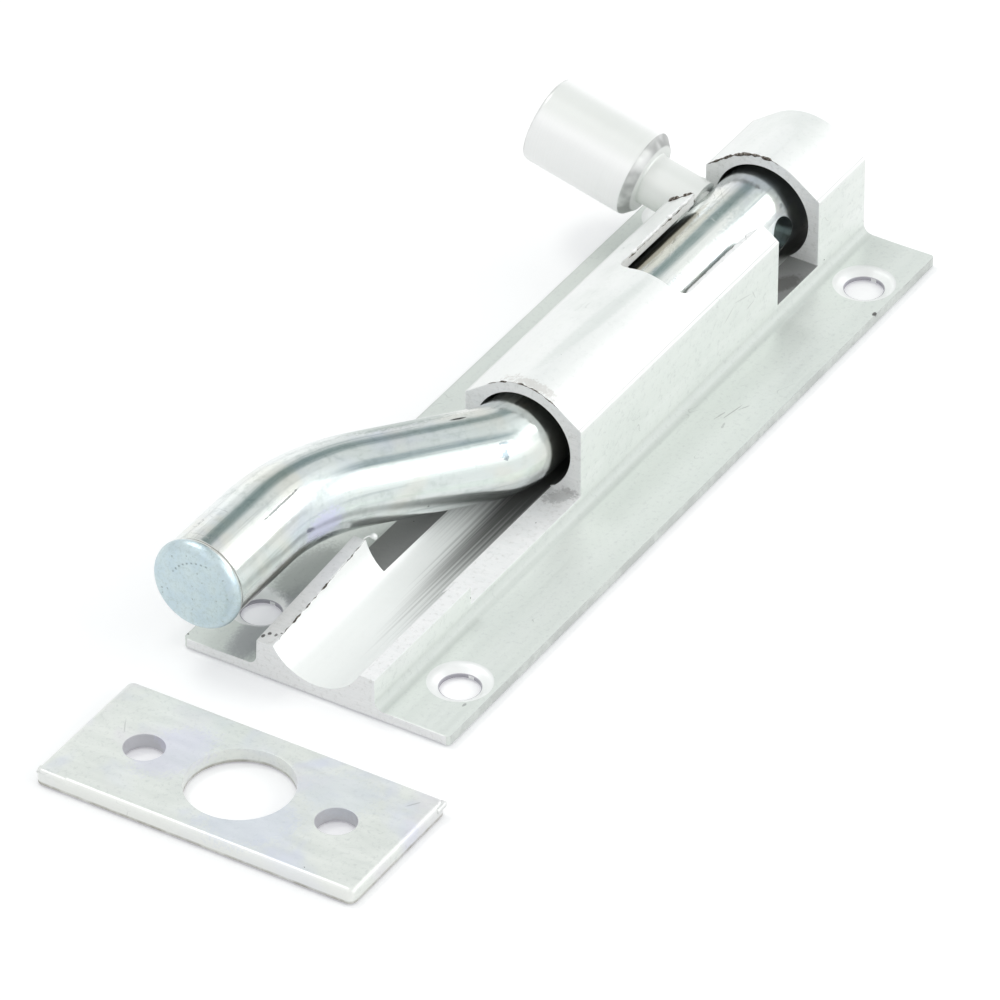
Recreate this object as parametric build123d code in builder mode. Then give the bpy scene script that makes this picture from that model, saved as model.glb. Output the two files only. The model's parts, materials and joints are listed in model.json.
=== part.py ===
"""Necked door bolt: an extruded housing, a cranked bolt rod, its knob and the keep plate.

Frame: +X is the way the bolt is thrown, +Z points away from the face it is screwed to.
The origin is the centre of the housing's underside.  All sizes are in millimetres.
The bolt is drawn back, with its neck and knob dropped to the -Y side.
"""

import os
from math import cos, radians, sin, tan

from build123d import *

# Housing, one length of extruded aluminium
base_length = 100.0
base_width = 32.0
flange_thickness = 1.1
base_corner_radius = 0.5
foot_fillet = 1.1
barrel_width = 14.2
bore_diameter = 11.6
bore_floor = 1.35
crown_wall = 1.25
crown_flank_slope = 35.5

# Cuts along the housing, counted from its rear end
ring_length = 10.1
knob_gap_length = 8.6
barrel_length = 41.0
neck_gap_length = 21.7
gap_floor = 2.5

# Tops of the two walls of the front guide; the left one was sawn at a slant
right_guide_height = 4.7
left_guide_rear_height = 5.8
left_guide_front_height = 4.3

# Slot in the barrel's crown, along which the knob is pushed
slot_length = 16.6
slot_width = 8.4
slot_offset = 0.7
slot_corner_radius = 1.8

# Countersunk screw holes in the flanges
screw_hole_diameter = 4.3
countersink_diameter = 6.9
countersink_angle = 120.0
screw_end_inset = 8.5
screw_side_inset = 4.0

# Bolt rod
rod_diameter = 9.9
rod_seat_gap = 0.3
rod_tail_inset = 1.2
tail_chamfer = 0.6
neck_bend_lead = 1.0
neck_bend_angle = 31.0
neck_bend_radius = 12.0
nose_bend_radius = 26.0
neck_offset = 12.7
nose_length = 12.4
nose_lip = 0.2
nose_lip_length = 1.6
nose_edge_radius = 1.2
nose_lip_radius = 0.12
rest_lift = 14.0

# Knob, turned in one piece with the spigot that holds it in the rod
knob_head_diameter = 10.0
knob_head_length = 13.5
knob_shoulder_chamfer = 1.0
knob_end_chamfer = 0.4
knob_stem_diameter = 5.8
knob_stem_length = 6.3
knob_seat_gap = 0.02
spigot_diameter = 4.0
spigot_length = 4.0
spigot_gap = 0.05

# Second tapped hole, for a knob fitted on the other side
spare_hole_lead = 1.25
spare_hole_lift = 3.0
spare_hole_depth = 4.2

# Keep plate
plate_length = 37.6
plate_width = 17.4
plate_thickness = 1.65
plate_corner_radius = 0.8
plate_edge_radius = 0.6
keep_hole_diameter = 11.5
plate_screw_diameter = 4.3
plate_screw_spacing = 22.8
plate_gap = 9.2
plate_side_shift = 2.5

# Places worked out from the sizes above
rear = -base_length / 2
front = base_length / 2
ring_front = rear + ring_length
barrel_rear = ring_front + knob_gap_length
barrel_front = barrel_rear + barrel_length
guide_rear = barrel_front + neck_gap_length
bore_z = bore_floor + bore_diameter / 2
crown_radius = bore_diameter / 2 + crown_wall
crown_edge_y = crown_radius * sin(radians(crown_flank_slope))
crown_edge_z = bore_z + crown_radius * cos(radians(crown_flank_slope))
shoulder_z = crown_edge_z - (barrel_width / 2 - crown_edge_y) * tan(radians(crown_flank_slope))
top_z = bore_z + crown_radius
rod_radius = rod_diameter / 2
rod_y = -(bore_diameter / 2 - rod_radius - rod_seat_gap)
slot_front = barrel_rear + slot_length
knob_x = (ring_front + barrel_rear) / 2
screw_spacing_x = base_length - 2 * screw_end_inset
screw_spacing_y = base_width - 2 * screw_side_inset
lift_direction = (0, -cos(radians(rest_lift)), sin(radians(rest_lift)))


def cut_above(start: float, end: float, floor: float) -> None:
    """Cuts away everything above floor between two places along the housing."""
    with Locations(((start + end) / 2, 0, floor)):
        Box(
            end - start,
            base_width,
            2 * top_z,
            align=(Align.CENTER, Align.CENTER, Align.MIN),
            mode=Mode.SUBTRACT,
        )


def cut_wall_top(rear_height: float, front_height: float, side: float) -> None:
    """Cuts the top off one wall of the front guide, from the middle out to side."""
    with BuildSketch(Plane.XZ) as waste:
        with BuildLine():
            Polyline(
                (guide_rear, rear_height),
                (front, front_height),
                (front, 2 * top_z),
                (guide_rear, 2 * top_z),
                close=True,
            )
        make_face()
    extrude(waste.sketch, amount=-side, mode=Mode.SUBTRACT)


def is_wall_foot(corner: Vertex) -> bool:
    """True at the inner corners of the section, where a barrel wall stands on a flange."""
    return abs(corner.Y - flange_thickness) < 1e-6 and abs(abs(corner.X) - barrel_width / 2) < 1e-6


def rod_surface(x: float, angle: float) -> Plane:
    """A plane on the rod's surface, facing outwards, at an angle above the +Y side."""
    outwards = Vector(0, cos(radians(angle)), sin(radians(angle)))
    origin = Vector(x, rod_y, bore_z) + outwards * rod_radius
    return Plane(origin=origin, x_dir=(1, 0, 0), z_dir=outwards)


os.makedirs("parts", exist_ok=True)

# Housing
with BuildPart() as housing:
    with BuildSketch(Plane.YZ) as section:
        Rectangle(base_width, flange_thickness, align=(Align.CENTER, Align.MIN))
        Rectangle(barrel_width, shoulder_z, align=(Align.CENTER, Align.MIN))
        wall_feet = section.vertices().filter_by(is_wall_foot)
        fillet(wall_feet, foot_fillet)
        with BuildLine():
            crown = CenterArc((0, bore_z), crown_radius, 90 - crown_flank_slope, 2 * crown_flank_slope)
            Polyline(
                crown @ 1,
                (-barrel_width / 2, shoulder_z),
                (barrel_width / 2, shoulder_z),
                crown @ 0,
            )
        make_face()
        with Locations((0, bore_z)):
            Circle(bore_diameter / 2, mode=Mode.SUBTRACT)
    extrude(amount=base_length / 2, both=True)
    fillet(housing.edges().filter_by(Axis.Z).group_by(Edge.length)[0], base_corner_radius)
    cut_above(ring_front, barrel_rear, gap_floor)
    cut_above(barrel_front, guide_rear, gap_floor)
    cut_wall_top(right_guide_height, right_guide_height, base_width / 2)
    cut_wall_top(left_guide_rear_height, left_guide_front_height, -base_width / 2)
    with BuildSketch(Plane.XY.offset(bore_z)):
        with Locations(((knob_x + slot_front) / 2, slot_offset)):
            RectangleRounded(slot_front - knob_x, slot_width, slot_corner_radius)
    extrude(amount=top_z, mode=Mode.SUBTRACT)
    with Locations((0, 0, flange_thickness)):
        with GridLocations(screw_spacing_x, screw_spacing_y, 2, 2):
            CounterSinkHole(
                screw_hole_diameter / 2,
                countersink_diameter / 2,
                flange_thickness,
                countersink_angle,
            )
housing.part.label = "housing"
export_step(housing.part, "parts/housing.step")

# Bolt rod, bent in the plane through its own axis that the knob lies in
neck_corner = barrel_front - neck_bend_lead + neck_bend_radius * tan(radians(neck_bend_angle / 2))
nose_corner = neck_corner + neck_offset / tan(radians(neck_bend_angle))
nose_tip = nose_corner + nose_bend_radius * tan(radians(neck_bend_angle / 2)) + nose_length
rod_plane = Plane(
    origin=(0, rod_y, bore_z),
    x_dir=(1, 0, 0),
    z_dir=Vector(1, 0, 0).cross(Vector(lift_direction)),
)
with BuildPart() as bolt_rod:
    with BuildLine(rod_plane) as rod_path:
        FilletPolyline(
            (rear + rod_tail_inset, 0),
            (neck_corner, 0),
            (nose_corner, neck_offset),
            (nose_tip, neck_offset),
            radius=[neck_bend_radius, nose_bend_radius],
        )
    with BuildSketch(Plane(origin=rod_path.line @ 0, z_dir=rod_path.line % 0)):
        Circle(rod_radius)
    sweep(path=rod_path.line)
    with BuildSketch(Plane(origin=rod_path.line @ 1, z_dir=rod_path.line % 1)):
        Circle(rod_radius + nose_lip)
    extrude(amount=-nose_lip_length)
    end_faces = bolt_rod.faces().filter_by(Plane.YZ).sort_by(Axis.X)
    chamfer(end_faces[0].edges(), tail_chamfer)
    fillet(end_faces[-1].edges(), nose_edge_radius)
    fillet(end_faces[1].edges().sort_by(Edge.length)[-1], nose_lip_radius)
    with Locations(rod_surface(knob_x, 180 - rest_lift)):
        Hole(spigot_diameter / 2, spigot_length + spigot_gap)
    with Locations(rod_surface(knob_x - spare_hole_lead, spare_hole_lift)):
        Hole(spigot_diameter / 2, spare_hole_depth)
bolt_rod.part.label = "bolt_rod"
export_step(bolt_rod.part, "parts/bolt_rod.step")

# Knob, drawn along its own axis, outwards from the rod's surface
knob_plane = rod_surface(knob_x, 180 - rest_lift)
head_start = knob_seat_gap + knob_stem_length
head_end = head_start + knob_head_length
stem_radius = knob_stem_diameter / 2
spigot_radius = spigot_diameter / 2 - spigot_gap
head_radius = knob_head_diameter / 2
with BuildPart() as knob:
    with BuildSketch(Plane(origin=knob_plane.origin, x_dir=knob_plane.z_dir, z_dir=knob_plane.x_dir)):
        with BuildLine():
            Polyline(
                (knob_seat_gap - spigot_length, 0),
                (knob_seat_gap - spigot_length, spigot_radius),
                (knob_seat_gap, spigot_radius),
                (knob_seat_gap, stem_radius),
                (head_start, stem_radius),
                (head_start, head_radius - knob_shoulder_chamfer),
                (head_start + knob_shoulder_chamfer, head_radius),
                (head_end - knob_end_chamfer, head_radius),
                (head_end, head_radius - knob_end_chamfer),
                (head_end, 0),
                close=True,
            )
        make_face()
    revolve(axis=Axis(knob_plane.origin, knob_plane.z_dir))
knob.part.label = "knob"
export_step(knob.part, "parts/knob.step")

# Keep plate
plate_x = front + plate_gap + plate_width / 2
with BuildPart() as keep_plate:
    with BuildSketch():
        with Locations((plate_x, plate_side_shift)):
            RectangleRounded(plate_width, plate_length, plate_corner_radius)
            Circle(keep_hole_diameter / 2, mode=Mode.SUBTRACT)
            with GridLocations(0, plate_screw_spacing, 1, 2):
                Circle(plate_screw_diameter / 2, mode=Mode.SUBTRACT)
    extrude(amount=plate_thickness)
    plate_top = keep_plate.faces().sort_by(Axis.Z)[-1]
    fillet(plate_top.outer_wire().edges(), plate_edge_radius)
keep_plate.part.label = "keep_plate"
export_step(keep_plate.part, "parts/keep_plate.step")
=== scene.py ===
"""Looks of a necked door bolt: extruded housing, cranked rod, turned knob and keep plate.

Everything is in metres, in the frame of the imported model.  Sizes are written in millimetres and turned into
metres once, by MM.
"""

import json
from contextlib import contextmanager
from math import cos, hypot, pi, radians, sin, sqrt, tan

import bmesh
import bpy
from mathutils import Matrix, Vector


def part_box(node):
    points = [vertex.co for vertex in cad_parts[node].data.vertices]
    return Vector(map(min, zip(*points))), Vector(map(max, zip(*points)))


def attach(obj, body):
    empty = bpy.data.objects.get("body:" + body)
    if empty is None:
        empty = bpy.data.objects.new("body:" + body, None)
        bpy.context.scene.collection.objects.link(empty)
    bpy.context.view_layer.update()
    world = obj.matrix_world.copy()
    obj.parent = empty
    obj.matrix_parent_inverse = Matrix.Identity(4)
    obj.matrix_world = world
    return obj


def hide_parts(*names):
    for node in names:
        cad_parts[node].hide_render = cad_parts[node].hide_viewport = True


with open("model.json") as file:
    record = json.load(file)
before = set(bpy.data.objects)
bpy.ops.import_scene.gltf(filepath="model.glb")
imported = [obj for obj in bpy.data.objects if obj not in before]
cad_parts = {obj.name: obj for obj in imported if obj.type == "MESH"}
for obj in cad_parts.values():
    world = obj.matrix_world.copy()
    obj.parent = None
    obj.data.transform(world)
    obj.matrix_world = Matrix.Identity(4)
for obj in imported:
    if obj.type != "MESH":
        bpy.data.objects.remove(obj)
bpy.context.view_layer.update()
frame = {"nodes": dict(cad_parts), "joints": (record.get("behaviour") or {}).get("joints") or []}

MM = 0.001

# Places along the housing
RING_FRONT = -39.9 * MM
BARREL_REAR = -31.3 * MM
BARREL_FRONT = 9.7 * MM
GUIDE_REAR = 31.4 * MM
GUIDE_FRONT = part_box("housing")[1].x

# Section of the housing
BORE_RADIUS = 5.8 * MM
BORE_HEIGHT = 7.15 * MM
CROWN_RADIUS = 7.05 * MM
FLANK_SLOPE = radians(35.5)
GAP_FLOOR = 2.5 * MM
LEFT_GUIDE_REAR_TOP = 5.8 * MM
LEFT_GUIDE_FRONT_TOP = 4.3 * MM
SHOULDER = 10.7 * MM
WALL_SIDE = 7.1 * MM
SLOT_LEFT = -3.5 * MM
SLOT_RIGHT = 4.9 * MM
EDGE_BREAK = 0.13 * MM
SHORTEST_BROKEN_EDGE = 0.7 * MM

# Screw holes, counted from the middle, and how far round them edges stay sharp, in millimetres
SCREW_HOLES = (41.5, 12.0)
SCREW_HOLE_REACH = 3.6

# Bolt rod, on the axis that the joint turns about
ROD_AXIS = Vector(frame["joints"][0]["pos_m"])
ROD_RADIUS = 4.95 * MM
ROD_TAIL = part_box("bolt_rod")[0].x
NOSE_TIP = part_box("bolt_rod")[1].x
TAIL_CHAMFER = 0.6 * MM
NECK_START = 8.7 * MM
NECK_ANGLE = radians(31.0)
NECK_RADIUS = 12.0 * MM
NOSE_RADIUS = 26.0 * MM
NECK_OFFSET = 12.7 * MM
NOSE_LIP = 0.2 * MM
NOSE_LIP_LENGTH = 1.6 * MM
NOSE_EDGE = 1.2 * MM
REST_LIFT = radians(14.0)
ROD_SIDES = 96

# Knob and the cross holes
KNOB_X = -35.6 * MM
HOLE_RADIUS = 2.0 * MM
KNOB_HOLE_DEPTH = 4.05 * MM
SPARE_HOLE_X = -36.85 * MM
SPARE_HOLE_LIFT = radians(3.0)
SPARE_HOLE_DEPTH = 4.2 * MM
KNOB_SIDES = 96
# The side of the knob that is painted grey as shade
KNOB_SHADED_SIDE = (0.268, 0.233, 0.936)

# Keep plate, with its screw holes counted from its middle
PLATE_MIDDLE = (67.9, 2.5, 0.0)
PLATE_HOLES = (0.0, 11.4)
RIM_BREAK = 0.07 * MM

# Camera, fitted to the corners and holes of the base and the plate
CAMERA_PLACE = (0.6225, 0.3733, 0.5257)
CAMERA_RIGHT = (-0.5231, 0.8523, 0.0)
CAMERA_UP = (-0.5041, -0.3094, 0.8064)
CAMERA_BACK = (0.6873, 0.4218, 0.5914)
CAMERA_LENS = 306.0
SENSOR_WIDTH = 36.0

# Fineness of the new meshes
MERGE_DISTANCE = 0.002 * MM
FLAT_ANGLE = radians(0.2)
SMOOTH_ANGLE = radians(33)
HOLE_SIDES = 48
BEND_STEPS = 40
BEAD_SIDES = 7
BEAD_STEP = 0.1 * MM

# Directions and places worked out from the sizes above
REST_WAY = Vector((0, -cos(REST_LIFT), sin(REST_LIFT)))
KNOB_SEAT = ROD_AXIS + Vector((KNOB_X, 0, 0)) + REST_WAY * ROD_RADIUS
NOSE_CENTRE = ROD_AXIS + REST_WAY * NECK_OFFSET

# Soft boxes and dark gaps in the studio: azimuth, elevation, where they are full and end, and colour
STUDIO = (
    (100, 24, 20, 34, (1.35, 1.36, 1.36)),
    (148, 34, 12, 22, (1.25, 1.26, 1.26)),
    (-8, 46, 12, 28, (1.30, 1.30, 1.30)),
    (180, 70, 5, 16, (0.50, 0.54, 0.50)),
    (203, 40, 3, 15, (0.25, 0.32, 0.32)),
    (224, 11, 4, 11, (1.20, 1.21, 1.20)),
    (121, 52, 3, 11, (0.30, 0.38, 0.41)),
)


# Node graphs

class Graph:
    """Adds nodes to one tree and joins them through their sockets."""

    def __init__(self, tree):
        self.tree = tree

    def feed(self, socket, value):
        """Links a socket, or sets its value; a colour is given by its red, green and blue."""
        if isinstance(value, bpy.types.NodeSocket):
            self.tree.links.new(value, socket)
        elif socket.type == "RGBA":
            socket.default_value = (*value, 1)
        else:
            socket.default_value = value

    def add(self, kind, inputs=None, **settings):
        """A new node with its settings, and its inputs by name or number."""
        made = self.tree.nodes.new(kind)
        for name, value in settings.items():
            setattr(made, name, value)
        for key, value in (inputs or {}).items():
            self.feed(made.inputs[key], value)
        return made

    def math(self, operation, *values, clamp=False):
        """One sum on numbers."""
        made = self.add("ShaderNodeMath", dict(enumerate(values)), operation=operation, use_clamp=clamp)
        return made.outputs[0]

    def vector(self, operation, *values):
        """One sum on vectors."""
        made = self.add("ShaderNodeVectorMath", operation=operation)
        for number, value in enumerate(values):
            self.feed(made.inputs[3 if operation == "SCALE" and number else number], value)
        return made.outputs["Vector"]

    def product(self, *values):
        """Several numbers multiplied."""
        made = values[0]
        for value in values[1:]:
            made = self.math("MULTIPLY", made, value)
        return made

    def less(self, value, taken):
        """A number with another taken from it."""
        return self.math("SUBTRACT", value, taken)

    def split(self, vector):
        """The three parts of a vector."""
        return self.add("ShaderNodeSeparateXYZ", {0: vector}).outputs

    def join(self, x, y=0.0, z=0.0):
        """A vector from its three parts."""
        return self.add("ShaderNodeCombineXYZ", {0: x, 1: y, 2: z}).outputs[0]

    def dot(self, vector, direction):
        """How far a vector reaches along a direction."""
        made = self.add("ShaderNodeVectorMath", {0: vector, 1: direction}, operation="DOT_PRODUCT")
        return made.outputs["Value"]

    def hypotenuse(self, first, second):
        """The length of a vector from its two parts."""
        squares = [self.math("POWER", value, 2.0) for value in (first, second)]
        return self.math("SQRT", self.math("ADD", *squares))

    def span(self, value, low, high, start=0.0, end=1.0):
        """Maps low to high onto start to end, with soft ends."""
        made = self.add(
            "ShaderNodeMapRange",
            {"Value": value, "From Min": low, "From Max": high, "To Min": start, "To Max": end},
            interpolation_type="SMOOTHSTEP",
        )
        return made.outputs["Result"]

    def mix(self, factor, first, second):
        """A colour between two."""
        made = self.add("ShaderNodeMix", {0: factor, 6: first, 7: second}, data_type="RGBA")
        return made.outputs[2]

    def tint(self, colour, paint, mask, strength):
        """A colour with paint over it where a mask shows it, at a strength."""
        return self.mix(self.math("MULTIPLY", mask, strength), colour, paint)

    def noise(self, vector, scale, detail=2.0, roughness=0.5):
        """Soft noise from 0 to 1."""
        inputs = {"Vector": vector, "Scale": scale, "Detail": detail, "Roughness": roughness}
        return self.add("ShaderNodeTexNoise", inputs).outputs["Fac"]

    def group(self, tree, **inputs):
        """A shared node group, with its inputs named with underscores."""
        made = self.add("ShaderNodeGroup", node_tree=tree)
        for name, value in inputs.items():
            self.feed(made.inputs[name.replace("_", " ")], value)
        return made.outputs


VECTOR = "NodeSocketVector"
FLOAT = "NodeSocketFloat"


def shared_group(name, inputs, outputs):
    """An empty shader node group; an input without a value is a vector, and all else is numbers."""
    tree = bpy.data.node_groups.new(name, "ShaderNodeTree")
    for label, value in inputs.items():
        if value is None:
            tree.interface.new_socket(label, in_out="INPUT", socket_type=VECTOR)
        else:
            tree.interface.new_socket(label, in_out="INPUT", socket_type=FLOAT).default_value = value
    for label in outputs:
        tree.interface.new_socket(label, in_out="OUTPUT", socket_type=FLOAT)
    graph = Graph(tree)
    return graph, graph.add("NodeGroupInput").outputs, graph.add("NodeGroupOutput").inputs


def drawn_out(graph, given, place):
    """Coordinates drawn out along X by a group's run and squeezed across by its fineness."""
    fine = given["Fineness"]
    return graph.vector("MULTIPLY", place, graph.join(graph.math("DIVIDE", 1.0, given["Run"]), fine, fine))


def lengthwise_lines_group():
    """Fine lines that run along X, as a die or a draw leaves them."""
    inputs = {"Place": None, "Run": 30.0, "Fineness": 4.0}
    graph, given, result = shared_group("lengthwise_lines", inputs, ("Lines", "Broad"))
    stretched = drawn_out(graph, given, given["Place"])
    graph.feed(result["Lines"], graph.noise(stretched, 1.0, 5.0, 0.65))
    graph.feed(result["Broad"], graph.noise(stretched, 0.17, 2.0, 0.5))
    return graph.tree


def specks_group():
    """Small dark specks of dirt, scattered and unequal."""
    inputs = {"Place": None, "Spacing": 3.0, "Share": 0.3, "Size": 0.2}
    graph, given, result = shared_group("specks", inputs, ("Mask",))
    shake = graph.add("ShaderNodeTexNoise", {"Vector": given["Place"], "Scale": 4.0, "Detail": 2.0})
    shaken = graph.vector("ADD", given["Place"], graph.vector("SCALE", shake.outputs["Color"], 0.35))
    scale = graph.math("DIVIDE", 1.0, given["Spacing"])
    cells = graph.add("ShaderNodeTexVoronoi", {"Vector": shaken, "Scale": scale})
    distance = graph.product(cells.outputs["Distance"], given["Spacing"])
    chance = graph.add("ShaderNodeSeparateColor", {"Color": cells.outputs["Color"]}).outputs
    present = graph.math("LESS_THAN", chance[0], given["Share"])
    reach = graph.product(given["Size"], graph.span(chance[1], 0.0, 1.0, 0.25, 1.0))
    inside = graph.span(graph.math("DIVIDE", distance, reach), 1.0, 0.55)
    graph.feed(result["Mask"], graph.product(present, inside))
    return graph.tree


def hairlines_group():
    """Sparse thin scratches, a little curved."""
    inputs = {"Place": None, "Run": 8.0, "Fineness": 0.7, "Width": 0.012, "Turn": 0.0, "Cover": 0.6}
    graph, given, result = shared_group("hairlines", inputs, ("Mask",))
    turned = graph.add("ShaderNodeVectorRotate", {"Vector": given["Place"], "Angle": given["Turn"]},
                       rotation_type="Z_AXIS").outputs[0]
    field = graph.noise(drawn_out(graph, given, turned), 1.0, 1.0, 0.4)
    away = graph.math("ABSOLUTE", graph.less(field, 0.5))
    line = graph.span(away, given["Width"], 0.0)
    patch = graph.noise(given["Place"], 0.22, 2.0, 0.6)
    shown = graph.span(patch, given["Cover"], graph.math("ADD", given["Cover"], 0.06))
    graph.feed(result["Mask"], graph.product(line, shown))
    return graph.tree


def plating_tint_group():
    """Soft clouds of warm and cool colour in a zinc coat."""
    tints = ("Warm", "Cool", "Dull")
    graph, given, result = shared_group("plating_tint", {"Place": None, "Scale": 0.1}, tints)
    clouds = graph.add("ShaderNodeTexNoise", {
        "Vector": given["Place"], "Scale": given["Scale"], "Detail": 3.0, "Roughness": 0.55,
        "Distortion": 0.4})
    parts = graph.add("ShaderNodeSeparateColor", {"Color": clouds.outputs["Color"]}).outputs
    for number, label in enumerate(tints):
        graph.feed(result[label], graph.span(parts[number], 0.48, 0.68))
    return graph.tree


def mark_group():
    """One mark with a ragged edge: a spot, a smear or a scratch, by its centre, turn and half sizes."""
    inputs = {"Place": None, "Centre": None, "Turn": None, "Reach": None, "Ragged": 0.3}
    graph, given, result = shared_group("mark", inputs, ("Mask",))
    offset = graph.vector("SUBTRACT", given["Place"], given["Centre"])
    turned = graph.add("ShaderNodeVectorRotate", {"Vector": offset, "Rotation": given["Turn"]},
                       rotation_type="EULER_XYZ").outputs[0]
    scaled = graph.vector("DIVIDE", turned, given["Reach"])
    distance = graph.add("ShaderNodeVectorMath", {0: scaled}, operation="LENGTH").outputs["Value"]
    shake = graph.less(graph.noise(given["Place"], 2.6, 3.0, 0.7), 0.5)
    ragged = graph.math("MULTIPLY_ADD", shake, given["Ragged"], distance)
    graph.feed(result["Mask"], graph.span(ragged, 1.0, 0.55))
    return graph.tree


LINES = lengthwise_lines_group()
SPECKS = specks_group()
HAIRLINES = hairlines_group()
TINT = plating_tint_group()
MARK = mark_group()


# Materials

def new_material(name, metallic=1.0):
    """A material with one Principled shader, its graph and its object coordinates in millimetres."""
    material = bpy.data.materials.new(name)
    material.use_nodes = True
    material.node_tree.nodes["Principled BSDF"].inputs["Metallic"].default_value = metallic
    graph = Graph(material.node_tree)
    place = graph.vector("SCALE", graph.add("ShaderNodeTexCoord").outputs["Object"], 1 / MM)
    return material, graph, place


def finished(material, graph, colour, roughness, relief, depth):
    """A material with its colour, roughness and relief, from 0 to 1 and some millimetres deep."""
    bump = graph.add("ShaderNodeBump", {"Height": relief, "Strength": 1.0, "Distance": depth * MM})
    shader = graph.tree.nodes["Principled BSDF"].inputs
    graph.feed(shader["Base Color"], colour)
    graph.feed(shader["Roughness"], roughness)
    graph.feed(shader["Normal"], bump.outputs["Normal"])
    return material


def swept_place(graph):
    """Coordinates in millimetres of a swept bar as if it were straight, along X."""
    along = graph.add("ShaderNodeAttribute", attribute_name="along").outputs["Fac"]
    across = graph.add("ShaderNodeAttribute", attribute_name="across").outputs["Vector"]
    sides = graph.split(across)
    return graph.vector("SCALE", graph.join(along, sides[0], sides[1]), 1 / MM)


def near(graph, value, target, width):
    """A mask of 1 where a value is at its target, falling to 0 at width away."""
    away = graph.math("ABSOLUTE", graph.less(value, target))
    return graph.span(away, width, 0.0)


def speck_mask(graph, place, spacing, share, size):
    """Where specks of dirt lie."""
    return graph.group(SPECKS, Place=place, Spacing=spacing, Share=share, Size=size)["Mask"]


def scratch_mask(graph, place, run, fineness, width, turn, cover):
    """Where thin scratches lie."""
    scratches = graph.group(
        HAIRLINES, Place=place, Run=run, Fineness=fineness, Width=width, Turn=turn, Cover=cover)
    return scratches["Mask"]


def marked(graph, place, colour, marks, specks):
    """A colour with specks over marks, some of which are painted shade, reflections and highlights: centre,
    turn in degrees, half sizes, raggedness, paint, strength.
    """
    for centre, turn, reach, ragged, paint, strength in marks:
        turn = tuple(radians(angle) for angle in turn)
        mask = graph.group(MARK, Place=place, Centre=centre, Turn=turn, Reach=reach, Ragged=ragged)["Mask"]
        colour = graph.tint(colour, paint, mask, strength)
    return graph.mix(specks, colour, DIRT_AND_SHADE)


# The colour of dirt, also used for a painted shadow in the knob gap
DIRT_AND_SHADE = (0.07, 0.065, 0.06)
BORE_SHADE_AND_GREASE = (0.10, 0.10, 0.095)
SCUFF = (0.34, 0.35, 0.34)
LEVEL = (0, 0, 0)

# Marks on the housing, in millimetres: scratches, scuffs and dirt, with a painted reflection and painted
# shadows among them
HOUSING_MARKS = (
    ((-20.8, 7.1, 7.5), (0, -28, 0), (1.5, 1.0, 0.10), 0.8, SCUFF, 0.35),
    ((-23.6, 7.1, 7.9), (0, 14, 0), (2.1, 1.0, 0.10), 0.9, SCUFF, 0.3),
    ((-25.3, 7.1, 6.1), (0, -12, 0), (1.1, 1.0, 0.10), 0.9, SCUFF, 0.35),
    ((-26.0, 7.1, 7.0), (0, 62, 0), (0.9, 1.0, 0.10), 0.9, SCUFF, 0.3),
    ((-13.4, 11.9, 1.1), (0, 0, 9.5), (1.9, 0.09, 0.6), 1.2, SCUFF, 0.6),
    ((-12.2, 11.1, 1.1), (0, 0, 12), (1.1, 0.12, 0.6), 1.5, SCUFF, 0.5),
    ((-14.8, 12.6, 1.1), (0, 0, 25), (0.9, 0.10, 0.6), 1.5, SCUFF, 0.5),
    ((-10.8, 12.3, 1.1), (0, 0, -10), (0.7, 0.16, 0.6), 1.6, SCUFF, 0.4),
    ((8.9, 0.6, 13.9), LEVEL, (0.9, 4.2, 1.2), 3.0, (0.34, 0.28, 0.23), 0.28),
    # painted reflection: a grey-green band along the top of the crown
    ((-4.6, 0.5, 14.1), (0, 0, 4.5), (13.0, 1.0, 1.2), 0.7, (0.64, 0.69, 0.65), 0.3),
    ((-2.7, 7.1, 1.3), LEVEL, (0.7, 0.35, 0.35), 0.9, DIRT_AND_SHADE, 0.7),
    ((3.8, 7.2, 1.2), LEVEL, (0.35, 0.3, 0.3), 0.7, DIRT_AND_SHADE, 0.9),
    ((-37.0, 15.8, 1.1), LEVEL, (0.45, 0.3, 0.4), 0.8, DIRT_AND_SHADE, 0.9),
    ((41.0, 12.6, 1.1), LEVEL, (0.25, 0.22, 0.4), 0.8, DIRT_AND_SHADE, 0.8),
    ((44.6, 14.4, 1.1), LEVEL, (0.4, 0.2, 0.4), 0.9, SCUFF, 0.8),
    # painted shadows of the nose and the neck on the left flange
    ((43.5, -9.8, 1.1), LEVEL, (9.5, 2.8, 0.7), 0.5, (0.32, 0.32, 0.35), 0.65),
    ((34.0, -11.0, 1.1), LEVEL, (7.0, 3.2, 0.7), 0.6, (0.34, 0.36, 0.34), 0.6),
)
SAWN_MARKS = (
    ((10.6, 5.2, 2.5), (0, 0, 35), (2.6, 1.3, 0.9), 1.8, DIRT_AND_SHADE, 0.3),
    # painted shadow of the ring on the floor of the knob gap
    ((-35.0, 5.6, 2.5), (0, 0, 25), (3.0, 1.4, 0.5), 1.2, DIRT_AND_SHADE, 0.55),
    ((49.1, -6.8, 4.35), LEVEL, (0.35, 0.22, 0.3), 0.9, DIRT_AND_SHADE, 0.9),
    ((48.5, -6.4, 4.4), LEVEL, (0.28, 0.25, 0.3), 0.9, DIRT_AND_SHADE, 0.9),
    ((48.4, -5.7, 4.4), LEVEL, (0.3, 0.2, 0.3), 0.9, DIRT_AND_SHADE, 0.8),
)
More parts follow.
